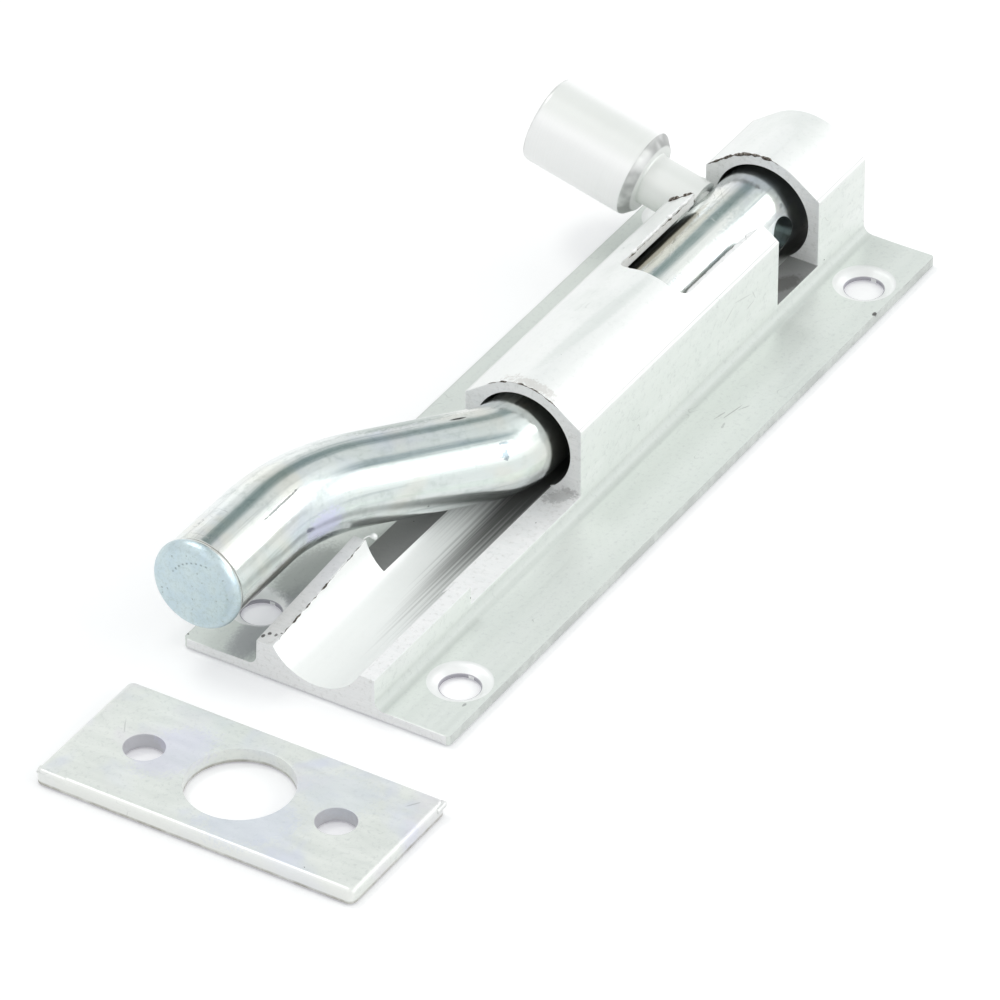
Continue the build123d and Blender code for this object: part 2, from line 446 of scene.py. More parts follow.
ROD_MARKS = (
    # on the rod in the slot: painted shade beside the slot's left wall, then a painted cream reflection
    ((-23.0, -2.5, 11.6), LEVEL, (11.0, 1.0, 1.2), 0.4, (0.40, 0.37, 0.28), 0.85),
    ((-23.0, -1.2, 12.1), LEVEL, (11.0, 0.8, 1.0), 0.6, (0.80, 0.77, 0.64), 0.5),
    ((35.6, -8.1, 9.9), LEVEL, (4.2, 1.7, 2.0), 0.9, (0.70, 0.70, 0.90), 0.85),
    # painted shade of the crease inside the nose bend
    ((35.8, -8.5, 8.0), (0, 10, 12), (3.4, 0.9, 0.9), 1.2, (0.07, 0.06, 0.09), 0.9),
    ((38.4, -8.0, 10.6), (0, 20, 0), (0.9, 0.6, 0.35), 1.4, (0.16, 0.16, 0.22), 0.7),
    # painted reflection of the shaded flange on the underside of the nose
    ((44.5, -8.3, 8.3), LEVEL, (9.0, 1.1, 1.5), 0.7, (0.17, 0.135, 0.105), 0.8),
    # painted highlight: a near-white band on the rod in the slot
    ((-23.0, 0.6, 11.9), LEVEL, (12.0, 1.7, 1.6), 0.6, (0.97, 0.99, 0.95), 0.7),
    # painted reflection: a dark grey-green band along the top of the neck
    ((21.5, -8.0, 12.6), (0, 8, 30), (10.0, 1.5, 1.6), 0.8, (0.36, 0.42, 0.39), 0.85),
    ((16.2, 1.9, 10.0), LEVEL, (0.55, 0.7, 0.7), 1.6, (0.12, 0.17, 0.21), 0.75),
    ((16.9, 1.7, 10.3), LEVEL, (0.45, 0.5, 0.5), 1.8, (0.12, 0.17, 0.21), 0.6),
    ((15.6, 1.4, 10.9), (0, 0, 30), (0.8, 0.25, 0.4), 1.8, (0.12, 0.17, 0.21), 0.6),
    ((16.7, -3.6, 12.8), (0, 0, 30), (1.2, 0.22, 0.4), 0.7, (0.03, 0.03, 0.03), 0.95),
    ((40.5, -10.0, 14.25), LEVEL, (4.5, 0.13, 0.5), 1.7, (0.12, 0.13, 0.13), 0.8),
    ((-20.8, -0.3, 12.1), (0, 0, -24), (1.8, 0.07, 0.6), 0.5, (0.92, 0.93, 0.90), 0.8),
)
PLATE_MARKS = (
    ((67.0, -6.0, 1.6), (0, 0, 20), (6.0, 4.0, 2.0), 0.9, (0.70, 0.70, 0.83), 0.5),
    ((72.5, 6.5, 1.6), (0, 0, -30), (5.0, 6.0, 2.0), 0.9, (0.66, 0.70, 0.82), 0.5),
    ((64.0, 12.0, 1.6), LEVEL, (4.0, 5.0, 2.0), 0.9, (0.68, 0.73, 0.79), 0.4),
    ((61.6, 19.0, 1.65), (0, 0, 35), (1.0, 0.13, 0.5), 0.8, SCUFF, 0.4),
    ((66.0, -12.5, 1.65), (0, 0, -30), (1.3, 0.09, 0.5), 0.9, SCUFF, 0.35),
)


def hole_distance(graph, parts, centre):
    """Distance in millimetres from the nearest of four holes that lie alike about the middle."""
    away = [graph.less(graph.math("ABSOLUTE", part), at) for part, at in zip(parts, centre)]
    return graph.hypotenuse(*away)


def extruded_aluminium():
    """Mill finish: pale and satin, with die lines, clouds, grain, specks, scratches, grease, and painted
    light and shade.
    """
    material, graph, place = new_material("extruded_aluminium", 0.35)
    x, y, z = graph.split(place)
    side = graph.math("ABSOLUTE", y)
    lines = graph.group(LINES, Place=place, Run=70.0, Fineness=2.2)
    clouds = graph.noise(place, 0.11, 4.0, 0.65)
    grain = graph.noise(place, 1.9, 4.0, 0.75)
    specks = speck_mask(graph, place, 2.6, 0.2, 0.14)
    scratches = scratch_mask(graph, place, 5.0, 0.5, 0.006, 0.5, 0.62)
    pale = graph.mix(graph.span(lines["Broad"], 0.3, 0.7), (0.80, 0.835, 0.80), (0.86, 0.885, 0.86))
    # Painted light: the crown top is painted lighter. Painted shade: the flange is painted darker.
    lit_crown = graph.mix(graph.span(z, 10.0, 11.2, 0.0, 0.8), pale, (0.92, 0.935, 0.92))
    painted_shade = graph.mix(graph.span(z, 1.35, 1.2, 0.0, 0.6), lit_crown, (0.70, 0.745, 0.70))
    dulled = graph.mix(graph.span(clouds, 0.45, 0.75, 0.0, 0.4), painted_shade, (0.70, 0.745, 0.71))
    smoother_crown = graph.span(z, 10.0, 11.2, 1.0, 0.35)
    coarse = graph.product(graph.span(grain, 0.50, 0.72, 0.0, 0.6), smoother_crown)
    grained = graph.mix(coarse, dulled, (0.62, 0.65, 0.63))
    scratched = graph.tint(grained, SCUFF, scratches, 0.5)

    # Lines that the die left at the shoulders, painted shade at the feet of the walls, and the outer edges
    # worn and painted darker as shade
    shoulder = graph.product(near(graph, side, 6.84, 0.09), graph.span(z, 10.3, 10.7))
    lined = graph.tint(scratched, (0.46, 0.45, 0.45), shoulder, 0.6)
    shaded_foot = graph.product(graph.span(side, 8.6, 8.0), graph.span(z, 2.4, 1.9))
    foot_shaded = graph.tint(lined, (0.52, 0.55, 0.53), shaded_foot, 0.35)
    # The outer edges: worn, and also painted darker as shade
    outer = near(graph, side, 16.0, 0.12)
    broken = graph.span(graph.noise(place, 0.35, 4.0, 0.7), 0.35, 0.6, 0.25, 0.5)
    edged = graph.tint(foot_shaded, SCUFF, outer, broken)

    # Screw holes: a bright countersink and a wall painted grey as shade
    away = hole_distance(graph, (x, y), SCREW_HOLES)
    sunk = graph.mix(graph.span(away, 3.5, 3.4), edged, (0.90, 0.91, 0.90))
    hole_shaded = graph.mix(graph.span(away, 2.3, 2.2), sunk, (0.40, 0.39, 0.43))

    # Painted shade and grease in the bore, wiped off beside the slot and drawn out along the right side of
    # the trough
    height = graph.less(z, BORE_HEIGHT / MM)
    radius = graph.hypotenuse(side, height)
    inside = graph.span(radius, BORE_RADIUS / MM + 0.1, BORE_RADIUS / MM + 0.05)
    in_ring = graph.span(x, RING_FRONT / MM + 1.0, RING_FRONT / MM - 1.0)
    past_rear = graph.span(x, BARREL_REAR / MM - 1.0, BARREL_REAR / MM + 1.0)
    streaks = graph.span(lines["Lines"], 0.35, 0.65, -5.0, 5.0)
    to_left = graph.span(y, 1.0, -2.0, 0.0, 17.0)
    reach = graph.math("ADD", graph.math("ADD", x, streaks), to_left)
    drawn = graph.span(reach, BARREL_FRONT / MM + 32.0, BARREL_FRONT / MM + 2.0)
    past_slot = graph.span(x, -12.0, -14.0)
    before_gap = graph.span(x, -34.0, -32.0)
    by_slot = graph.product(past_slot, before_gap, graph.span(y, 1.0, 2.0))
    in_barrel = graph.product(past_rear, drawn, graph.less(1.0, by_slot))
    bore = graph.product(inside, graph.math("MAXIMUM", in_ring, in_barrel))
    rubbed = graph.tint(hole_shaded, (0.94, 0.955, 0.94), inside, 0.8)
    shaded_and_greased = graph.tint(rubbed, BORE_SHADE_AND_GREASE, bore, 0.94)

    colour = marked(graph, place, shaded_and_greased, HOUSING_MARKS, specks)
    satin = graph.span(lines["Lines"], 0.3, 0.7, 0.36, 0.50)
    matt = graph.product(graph.math("MAXIMUM", specks, shaded_foot), 0.3)
    relief = graph.less(grain, graph.product(scratches, 0.5))
    return finished(material, graph, colour, graph.math("ADD", satin, matt), relief, 0.006)


def sawn_aluminium():
    """A sawn face: pale grey with fine saw marks across it, and painted shade on the floors of the gaps."""
    material, graph, place = new_material("sawn_aluminium", 0.2)
    across = graph.vector("MULTIPLY", place, (1.6, 0.3, 6.0))
    marks = graph.noise(across, 1.0, 4.0, 0.7)
    grain = graph.noise(place, 6.0, 3.0, 0.7)
    specks = speck_mask(graph, place, 1.6, 0.2, 0.13)
    pale = graph.mix(graph.span(marks, 0.3, 0.7), (0.86, 0.87, 0.865), (0.92, 0.92, 0.915))
    coarse = graph.span(graph.noise(place, 1.9, 4.0, 0.75), 0.5, 0.72, 0.0, 0.6)
    grained = graph.mix(coarse, pale, (0.66, 0.66, 0.64))
    x, y, z = graph.split(place)
    # Painted shade on the floors of the knob gap and of the left half of the neck gap
    level = near(graph, z, GAP_FLOOR / MM, 0.15)
    in_knob_gap = graph.span(x, BARREL_REAR / MM + 0.1, BARREL_REAR / MM - 0.1)
    before_guide = graph.span(x, GUIDE_REAR / MM, GUIDE_REAR / MM - 0.2)
    in_neck_gap = graph.product(before_guide, graph.span(y, 0.5, -0.5))
    gap_floor_shade = graph.product(level, graph.math("MAXIMUM", in_knob_gap, in_neck_gap))
    muted = graph.tint(grained, (0.16, 0.165, 0.16), gap_floor_shade, 0.85)
    colour = marked(graph, place, muted, SAWN_MARKS, specks)
    relief = graph.math("ADD", marks, graph.product(grain, 0.4))
    return finished(material, graph, colour, graph.span(grain, 0.3, 0.7, 0.42, 0.58), relief, 0.010)


def bright_zinc():
    """The rod's coat: bright, drawn lengthwise, with warm and cool tints, scuffs and bending marks, and
    painted shade, reflections and highlights.
    """
    material, graph, spot = new_material("bright_zinc")
    place = swept_place(graph)
    lines = graph.group(LINES, Place=place, Run=22.0, Fineness=1.6)
    tint = graph.group(TINT, Place=place, Scale=0.11)
    specks = speck_mask(graph, spot, 2.2, 0.24, 0.15)
    scratches = scratch_mask(graph, place, 6.0, 0.6, 0.007, 0.9, 0.58)
    streak = graph.span(lines["Lines"], 0.55, 0.68)
    base = graph.mix(graph.span(lines["Broad"], 0.35, 0.65), (0.66, 0.715, 0.70), (0.80, 0.835, 0.825))
    blotches = graph.span(graph.noise(place, 0.6, 5.0, 0.75), 0.48, 0.66, 0.0, 0.55)
    blotched = graph.mix(blotches, base, (0.52, 0.58, 0.56))
    streaked = graph.tint(blotched, (0.40, 0.45, 0.46), streak, 0.5)
    warm = graph.tint(streaked, (0.76, 0.71, 0.60), tint["Warm"], 0.35)
    cool = graph.tint(warm, (0.58, 0.63, 0.76), tint["Cool"], 0.4)
    scuffed = graph.tint(cool, (0.20, 0.22, 0.23), scratches, 0.6)
    behind_rim = near(graph, graph.split(spot)["X"], NOSE_TIP / MM - 1.62, 0.16)
    rimmed = graph.tint(scuffed, (0.15, 0.135, 0.10), behind_rim, 0.8)
    colour = marked(graph, spot, rimmed, ROD_MARKS, specks)
    gloss = graph.span(lines["Lines"], 0.3, 0.72, 0.12, 0.24)
    muted = graph.product(tint["Dull"], 0.06)
    rough = graph.math("ADD", graph.math("ADD", gloss, muted), graph.product(specks, 0.3))
    relief = graph.less(lines["Lines"], graph.product(scratches, 0.6))
    return finished(material, graph, colour, rough, relief, 0.012)


def sheared_zinc():
    """The rod's end: cropped, then plated: pale blue, grainy and pitted, with an arc of tooth marks."""
    material, graph, place = new_material("sheared_zinc")
    grain = graph.noise(place, 5.0, 4.0, 0.75)
    clouds = graph.noise(place, 0.55, 3.0, 0.6)
    pits = speck_mask(graph, place, 0.6, 0.55, 0.12)
    pale = graph.mix(graph.span(clouds, 0.3, 0.7), (0.555, 0.665, 0.72), (0.605, 0.705, 0.725))
    mottling = graph.span(graph.noise(place, 2.2, 4.0, 0.8), 0.45, 0.65, 0.0, 0.6)
    mottled = graph.mix(mottling, pale, (0.46, 0.55, 0.56))
    centre = tuple(value / MM for value in NOSE_CENTRE + Vector((NOSE_TIP, 1.3 * MM, -0.7 * MM)))
    _, y, z = graph.split(graph.vector("SUBTRACT", place, centre))
    turn = graph.math("ARCTAN2", z, y)
    circle = near(graph, graph.hypotenuse(y, z), 4.15, 0.17)
    arc = graph.product(circle, graph.span(turn, 1.25, 1.45), graph.span(turn, 2.75, 2.55))
    teeth = graph.product(arc, graph.span(graph.math("SINE", graph.product(turn, 44.0)), 0.0, 0.5))
    pitted = graph.tint(mottled, (0.20, 0.23, 0.21), pits, 0.6)
    colour = graph.tint(pitted, (0.20, 0.25, 0.26), teeth, 0.7)
    relief = graph.less(grain, graph.math("ADD", pits, teeth))
    return finished(material, graph, colour, graph.span(grain, 0.3, 0.7, 0.30, 0.46), relief, 0.02)


def turned_aluminium():
    """The knob: turned, then brushed, with fine rings round its axis, soft clouds, and painted shade on one
    side, its shoulder chamfer and its end rim.
    """
    material, graph, place = new_material("turned_aluminium", 0.3)
    seat = tuple(value / MM for value in KNOB_SEAT)
    from_seat = graph.vector("SUBTRACT", place, seat)
    along = graph.dot(from_seat, tuple(REST_WAY))
    ring_place = graph.join(graph.product(along, 7.0))
    rings = graph.noise(graph.vector("ADD", ring_place, graph.vector("SCALE", place, 0.06)), 1.0, 4.0, 0.7)
    clouds = graph.noise(place, 0.18, 3.0, 0.6)
    specks = speck_mask(graph, place, 2.2, 0.3, 0.20)
    pale = graph.mix(graph.span(rings, 0.3, 0.7), (0.94, 0.945, 0.935), (0.965, 0.97, 0.96))
    dulled = graph.mix(graph.span(clouds, 0.48, 0.75, 0.0, 0.35), pale, (0.84, 0.855, 0.835))
    # Painted shade: one side greyed, and the shoulder chamfer and the end rim painted dark
    upwards = graph.dot(from_seat, KNOB_SHADED_SIDE)
    side_shaded = graph.mix(graph.span(upwards, 4.0, 4.9, 0.0, 0.6), dulled, (0.76, 0.785, 0.745))
    filmed = graph.mix(graph.span(along, 6.4, 6.2, 0.0, 0.7), side_shaded, (0.76, 0.785, 0.75))
    shoulder = graph.product(graph.span(along, 6.30, 6.42), graph.span(along, 7.42, 7.30))
    painted_shade = graph.span(graph.noise(place, 0.35, 2.0, 0.5), 0.35, 0.6, 0.2, 0.85)
    banded = graph.tint(filmed, (0.33, 0.335, 0.33), shoulder, painted_shade)
    rim = graph.product(near(graph, along, 19.6, 0.2), painted_shade)
    edged = graph.tint(banded, (0.35, 0.34, 0.33), rim, 0.5)
    colour = graph.mix(specks, edged, DIRT_AND_SHADE)
    return finished(material, graph, colour, graph.span(rings, 0.3, 0.7, 0.32, 0.44), rings, 0.0015)


def plate_zinc():
    """The keep plate's coat: satin over rolled sheet, with clouds of pale blue, pink and green, a painted
    highlight on its front edge and painted shade along its foot.
    """
    material, graph, place = new_material("plate_zinc", 0.4)
    tint = graph.group(TINT, Place=place, Scale=0.10)
    rolled = graph.noise(graph.vector("MULTIPLY", place, (0.9, 0.22, 1.0)), 1.0, 4.0, 0.65)
    grain = graph.noise(place, 1.9, 4.0, 0.75)
    specks = speck_mask(graph, place, 2.6, 0.2, 0.14)
    scratches = scratch_mask(graph, place, 5.0, 0.5, 0.006, 1.1, 0.6)
    base = graph.mix(graph.span(rolled, 0.3, 0.7), (0.76, 0.79, 0.75), (0.81, 0.835, 0.795))
    grained = graph.mix(graph.span(grain, 0.5, 0.72, 0.0, 0.55), base, (0.60, 0.63, 0.605))
    cool = graph.tint(grained, (0.69, 0.72, 0.82), tint["Cool"], 0.75)
    warm = graph.tint(cool, (0.77, 0.73, 0.79), tint["Warm"], 0.5)
    x, y, z = graph.split(graph.vector("SUBTRACT", place, PLATE_MIDDLE))
    # Painted highlight along the front edge, and painted shade along the foot
    lit_edge = graph.mix(graph.span(x, 8.1, 8.4, 0.0, 0.6), warm, (0.93, 0.935, 0.905))
    ragged = graph.span(graph.noise(place, 0.5, 3.0, 0.7), 0.3, 0.7, 0.35, 0.9)
    shaded_foot = graph.product(graph.span(z, 0.42, 0.12), ragged)
    foot_shaded = graph.mix(shaded_foot, lit_edge, (0.36, 0.345, 0.29))
    away = hole_distance(graph, (x, y), PLATE_HOLES)
    punched = graph.mix(graph.span(away, 2.25, 2.17), foot_shaded, (0.60, 0.60, 0.62))
    scuffed = graph.tint(punched, (0.45, 0.46, 0.46), scratches, 0.4)
    colour = marked(graph, place, scuffed, PLATE_MARKS, specks)
    relief = graph.less(grain, graph.product(scratches, 0.5))
    return finished(material, graph, colour, graph.span(rolled, 0.3, 0.7, 0.36, 0.48), relief, 0.002)


def dark_burr():
    """Torn metal left at a cut, dark with dirt in its folds and bright on its tips."""
    material, graph, place = new_material("dark_burr")
    folds = graph.noise(place, 3.0, 3.0, 0.7)
    colour = graph.mix(graph.span(folds, 0.45, 0.7), (0.08, 0.066, 0.055), (0.46, 0.43, 0.39))
    return finished(material, graph, colour, graph.span(folds, 0.3, 0.7, 0.7, 0.45), folds, 0.03)


EXTRUDED = extruded_aluminium()
SAWN = sawn_aluminium()
ZINC = bright_zinc()
SHEARED = sheared_zinc()
TURNED = turned_aluminium()
PLATED = plate_zinc()
BURR = dark_burr()


# Meshes

def new_object(name, data):
    """An object at the origin that holds a mesh, a light or a camera."""
    made = bpy.data.objects.new(name, data)
    bpy.context.scene.collection.objects.link(made)
    return made


@contextmanager
def edited(mesh):
    """Opens a mesh to be edited and writes it back."""
    form = bmesh.new()
    form.from_mesh(mesh)
    yield form
    form.to_mesh(mesh)
    form.free()


def settled(piece):
    """Turns a piece with modifiers into a plain mesh."""
    graph = bpy.context.evaluated_depsgraph_get()
    solved = piece.evaluated_get(graph)
    mesh = bpy.data.meshes.new_from_object(solved, preserve_all_data_layers=True, depsgraph=graph)
    piece.modifiers.clear()
    piece.data = mesh
    mesh.name = piece.name
    return piece


def smooth(piece):
    """Shades a piece smooth, apart from its sharp edges, with its flat faces kept flat."""
    piece.data.shade_smooth()
    piece.data.set_sharp_from_angle(angle=SMOOTH_ANGLE)
    piece.modifiers.new("flats", "WEIGHTED_NORMAL").keep_sharp = True
    settled(piece)


def merged_copy(node, name):
    """A piece with a node's mesh, its loose triangles merged and its flat faces joined."""
    mesh = frame["nodes"][node].data.copy()
    mesh.materials.clear()
    if "custom_normal" in mesh.attributes:
        mesh.attributes.remove(mesh.attributes["custom_normal"])
    with edited(mesh) as form:
        bmesh.ops.remove_doubles(form, verts=form.verts, dist=MERGE_DISTANCE)
        bmesh.ops.dissolve_limit(form, angle_limit=FLAT_ANGLE, verts=form.verts, edges=form.edges)
    return new_object(name, mesh)


def break_edges(piece, width, chosen):
    """Rounds the chosen sharp edges of a piece."""
    with edited(piece.data) as form:
        sharp = [edge for edge in form.edges if edge.is_manifold and edge.calc_face_angle() > SMOOTH_ANGLE]
        bmesh.ops.bevel(form, geom=[edge for edge in sharp if chosen(edge)], offset=width, segments=2,
                        offset_type="OFFSET", profile=0.5, affect="EDGES", clamp_overlap=False, material=-1)


def path_tree(name, inputs):
    """A Geometry Nodes group along a path: its graph, inputs, curve and the inputs' identifiers."""
    tree = bpy.data.node_groups.new(name, "GeometryNodeTree")
    tree.interface.new_socket("Path", in_out="INPUT", socket_type="NodeSocketGeometry")
    keys = {}
    for label, kind in inputs:
        keys[label] = tree.interface.new_socket(label, in_out="INPUT", socket_type=kind).identifier
    tree.interface.new_socket("Piece", in_out="OUTPUT", socket_type="NodeSocketGeometry")
    graph = Graph(tree)
    given = graph.add("NodeGroupInput").outputs
    return graph, given, graph.add("GeometryNodeMeshToCurve", {"Mesh": given["Path"]}).outputs[0], keys


def unit_circle(graph, sides):
    """A round profile of radius 1."""
    return graph.add("GeometryNodeCurvePrimitiveCircle", {"Resolution": sides, "Radius": 1.0}).outputs[0]


def stored(graph, geometry, name, value, kind):
    """Geometry with a named value kept at its points."""
    inputs = {0: geometry, "Name": name, "Value": value}
    return graph.add("GeometryNodeStoreNamedAttribute", inputs, data_type=kind, domain="POINT").outputs[0]


def sweep_out(graph, curve, profile, radius, finish):
    """Sweeps a profile along a curve into real, closed geometry with a finish, and hands it out."""
    swept = graph.add("GeometryNodeCurveToMesh", {
        "Curve": curve, "Profile Curve": profile, "Scale": radius, "Fill Caps": True}).outputs[0]
    real = graph.add("GeometryNodeRealizeInstances", {0: swept}).outputs[0]
    dressed = graph.add("GeometryNodeSetMaterial", {0: real, "Material": finish}).outputs[0]
    graph.add("NodeGroupOutput", {0: dressed})


def bar_tree():
    """Sweeps a round bar along a path of points, each with the bar's radius and its bend there."""
    inputs = [("Sides", "NodeSocketInt"), ("Finish", "NodeSocketMaterial")]
    graph, given, line, keys = path_tree("round_bar", inputs)
    bend = graph.add("GeometryNodeInputNamedAttribute", {"Name": "bend_radius"}).outputs[0]
    radius = graph.add("GeometryNodeInputNamedAttribute", {"Name": "bar_radius"}).outputs[0]
    corners = {"Curve": line, "Radius": bend, "Count": BEND_STEPS}
    bent = graph.add("GeometryNodeFilletCurve", corners, mode="POLY").outputs[0]
    length = graph.add("GeometryNodeSplineParameter").outputs["Length"]
    measured = stored(graph, bent, "along", length, "FLOAT")
    spot = graph.vector("SCALE", graph.add("GeometryNodeInputPosition").outputs[0], ROD_RADIUS)
    ring = stored(graph, unit_circle(graph, given["Sides"]), "across", spot, "FLOAT_VECTOR")
    sweep_out(graph, measured, ring, radius, given["Finish"])
    return graph.tree, keys


def burr_tree():
    """Lays an uneven bead of torn metal along a path, thin at its ends and broken in places."""
    inputs = [(label, FLOAT) for label in ("Thickness", "Spacing", "Wander", "Gaps", "Seed")]
    inputs.append(("Finish", "NodeSocketMaterial"))
    graph, given, line, keys = path_tree("torn_bead", inputs)
    steps = {"Curve": line, "Length": given["Spacing"]}
    fine = graph.add("GeometryNodeResampleCurve", steps, mode="LENGTH").outputs[0]
    roll = {"Vector": graph.add("GeometryNodeInputPosition").outputs[0], "W": given["Seed"], "Detail": 2.0}
    bends = graph.add("ShaderNodeTexNoise", dict(roll, Scale=1.6 / MM), noise_dimensions="4D")
    push = graph.vector("SUBTRACT", bends.outputs["Color"], (0.5, 0.5, 0.5))
    offset = graph.vector("SCALE", push, given["Wander"])
    bent = graph.add("GeometryNodeSetPosition", {"Geometry": fine, "Offset": offset}).outputs[0]
    lumps = graph.add("ShaderNodeTexNoise", dict(roll, Scale=0.9 / MM), noise_dimensions="4D")
    full = graph.math("ADD", given["Gaps"], 0.22)
    swell = graph.span(lumps.outputs["Fac"], given["Gaps"], full, 0.12, 1.0)
    factor = graph.add("GeometryNodeSplineParameter").outputs["Factor"]
    ends = graph.math("MINIMUM", factor, graph.less(1.0, factor))
    radius = graph.product(swell, graph.span(ends, 0.0, 0.12, 0.1, 1.0), given["Thickness"])
    sweep_out(graph, bent, unit_circle(graph, BEAD_SIDES), radius, given["Finish"])
    return graph.tree, keys


BAR = bar_tree()
BEAD = burr_tree()


def path_piece(name, points, group, inputs, values=None):
    """A piece that a Geometry Nodes group makes along points, by its inputs and values at the points."""
    tree, keys = group
    mesh = bpy.data.meshes.new(name)
    mesh.from_pydata(points, [(number, number + 1) for number in range(len(points) - 1)], [])
    for label, column in (values or {}).items():
        mesh.attributes.new(label, "FLOAT", "POINT").data.foreach_set("value", column)
    piece = new_object(name, mesh)
    work = piece.modifiers.new(tree.name, "NODES")
    work.node_group = tree
    for label, value in inputs.items():
        work[keys[label]] = value
    settled(piece)
    outward_faces(piece)
    return piece


def swept_bar(name, stations, sides, finish):
    """A bar through stations, each a point with the bar's radius and the radius of its bend."""
    points, radii, bends = zip(*stations)
    values = {"bar_radius": radii, "bend_radius": bends}
    return path_piece(name, points, BAR, {"Sides": sides, "Finish": finish}, values)


def torn_bead(name, points, finish, thickness, wander, gaps, seed):
    """A bead of torn metal through points, with its thickness and wander, all in millimetres."""
    inputs = {"Thickness": thickness * MM, "Spacing": BEAD_STEP, "Wander": wander * MM, "Gaps": gaps,
              "Seed": seed, "Finish": finish}
    piece = path_piece(name, [Vector(point) * MM for point in points], BEAD, inputs)
    piece.data.shade_smooth()
    return piece


def outward_faces(piece):
    """Points all faces of a closed piece outwards."""
    with edited(piece.data) as form:
        bmesh.ops.recalc_face_normals(form, faces=form.faces)


def drill(piece, mouth, outwards, radius, depth):
    """Cuts a blind round hole into a piece."""
    over = 0.5 * MM
    turn = outwards.to_track_quat("Z", "Y").to_matrix().to_4x4()
    place = Matrix.Translation(mouth + outwards * (over - depth) / 2) @ turn
    mesh = bpy.data.meshes.new("drill")
    with edited(mesh) as form:
        bmesh.ops.create_cone(form, cap_ends=True, segments=HOLE_SIDES, radius1=radius, radius2=radius,
                              depth=depth + over, matrix=place)
    cutter = new_object("drill", mesh)
    cut = piece.modifiers.new("hole", "BOOLEAN")
    cut.object = cutter
    cut.operation = "DIFFERENCE"
    cut.solver = "EXACT"
    settled(piece)
    bpy.data.objects.remove(cutter)


def rounded_edge(start, end, centre, radius, steps):
    """Places along a bar and its radii, round an edge from one angle to another."""
    turns = [start + (end - start) * number / steps for number in range(steps + 1)]
    return [(centre[0] + radius * sin(turn), centre[1] + radius * cos(turn)) for turn in turns]


# Pieces

def by_screw_hole(edge):
    """True for an edge of a screw hole or of its countersink."""
    middle = (edge.verts[0].co + edge.verts[1].co) / 2
    away = [abs(value) / MM - place for value, place in zip(middle, SCREW_HOLES)]
    return hypot(*away) < SCREW_HOLE_REACH


def make_housing():
    """The extrusion, with its edges broken and its sawn faces in their own finish."""
    piece = merged_copy("housing", "housing_dressed")
    for finish in (EXTRUDED, SAWN):
        piece.data.materials.append(finish)
    for face in piece.data.polygons:
        end_grain = abs(face.normal.x) > 0.98
        cut_top = face.normal.z > 0.98 and GAP_FLOOR - EDGE_BREAK < face.center.z < SHOULDER
        in_crown = face.center.z > BORE_HEIGHT + BORE_RADIUS / 2
        inside = abs(face.center.y) < WALL_SIDE - 1.0 * MM
        slot_side = abs(face.normal.z) < 0.02 and in_crown and inside
        face.material_index = 1 if end_grain or cut_top or slot_side else 0
    break_edges(
        piece, EDGE_BREAK,
        lambda edge: edge.calc_length() > SHORTEST_BROKEN_EDGE and not by_screw_hole(edge))
    smooth(piece)
    return piece


def on_axis(x):
    """A point on the rod's axis, at one place along it."""
    return ROD_AXIS + Vector((x, 0, 0))


def make_rod():
    """The cranked rod, with its chamfered tail, the lip round its nose and its two cross holes."""
    half_bend = tan(NECK_ANGLE / 2)
    neck_corner = NECK_START + NECK_RADIUS * half_bend
    nose_corner = neck_corner + NECK_OFFSET / tan(NECK_ANGLE)
    lip = ROD_RADIUS + NOSE_LIP
    lip_start = NOSE_TIP - NOSE_LIP_LENGTH
    rounding = rounded_edge(0, pi / 2, (NOSE_TIP - NOSE_EDGE, lip - NOSE_EDGE), NOSE_EDGE, 8)
    profile = [
        (ROD_TAIL, 0, ROD_RADIUS - TAIL_CHAMFER, 0),
        (ROD_TAIL + TAIL_CHAMFER, 0, ROD_RADIUS, 0),
        (SPARE_HOLE_X - 2 * HOLE_RADIUS, 0, ROD_RADIUS, 0),
        (KNOB_X + 2 * HOLE_RADIUS, 0, ROD_RADIUS, 0),
        (neck_corner, 0, ROD_RADIUS, NECK_RADIUS),
        (nose_corner, NECK_OFFSET, ROD_RADIUS, NOSE_RADIUS),
        (lip_start - 0.4 * MM, NECK_OFFSET, ROD_RADIUS, 0),
        (lip_start - 0.1 * MM, NECK_OFFSET, ROD_RADIUS + NOSE_LIP * 0.25, 0),
        (lip_start + 0.2 * MM, NECK_OFFSET, ROD_RADIUS + NOSE_LIP * 0.85, 0),
    ]
    profile += [(along, NECK_OFFSET, radius, 0) for along, radius in rounding]
    stations = [(on_axis(x) + REST_WAY * offset, radius, bend) for x, offset, radius, bend in profile]
    piece = swept_bar("bolt_rod_dressed", stations, ROD_SIDES, ZINC)
    spare = Vector((0, cos(SPARE_HOLE_LIFT), sin(SPARE_HOLE_LIFT)))
    holes = ((KNOB_X, REST_WAY, KNOB_HOLE_DEPTH), (SPARE_HOLE_X, spare, SPARE_HOLE_DEPTH))
    for x, outwards, depth in holes:
        drill(piece, on_axis(x) + outwards * ROD_RADIUS, outwards, HOLE_RADIUS, depth)
    piece.data.materials.append(SHEARED)
    for face in piece.data.polygons:
        if face.center.x > NOSE_TIP - NOSE_EDGE:
            face.material_index = 1
    smooth(piece)
    return piece


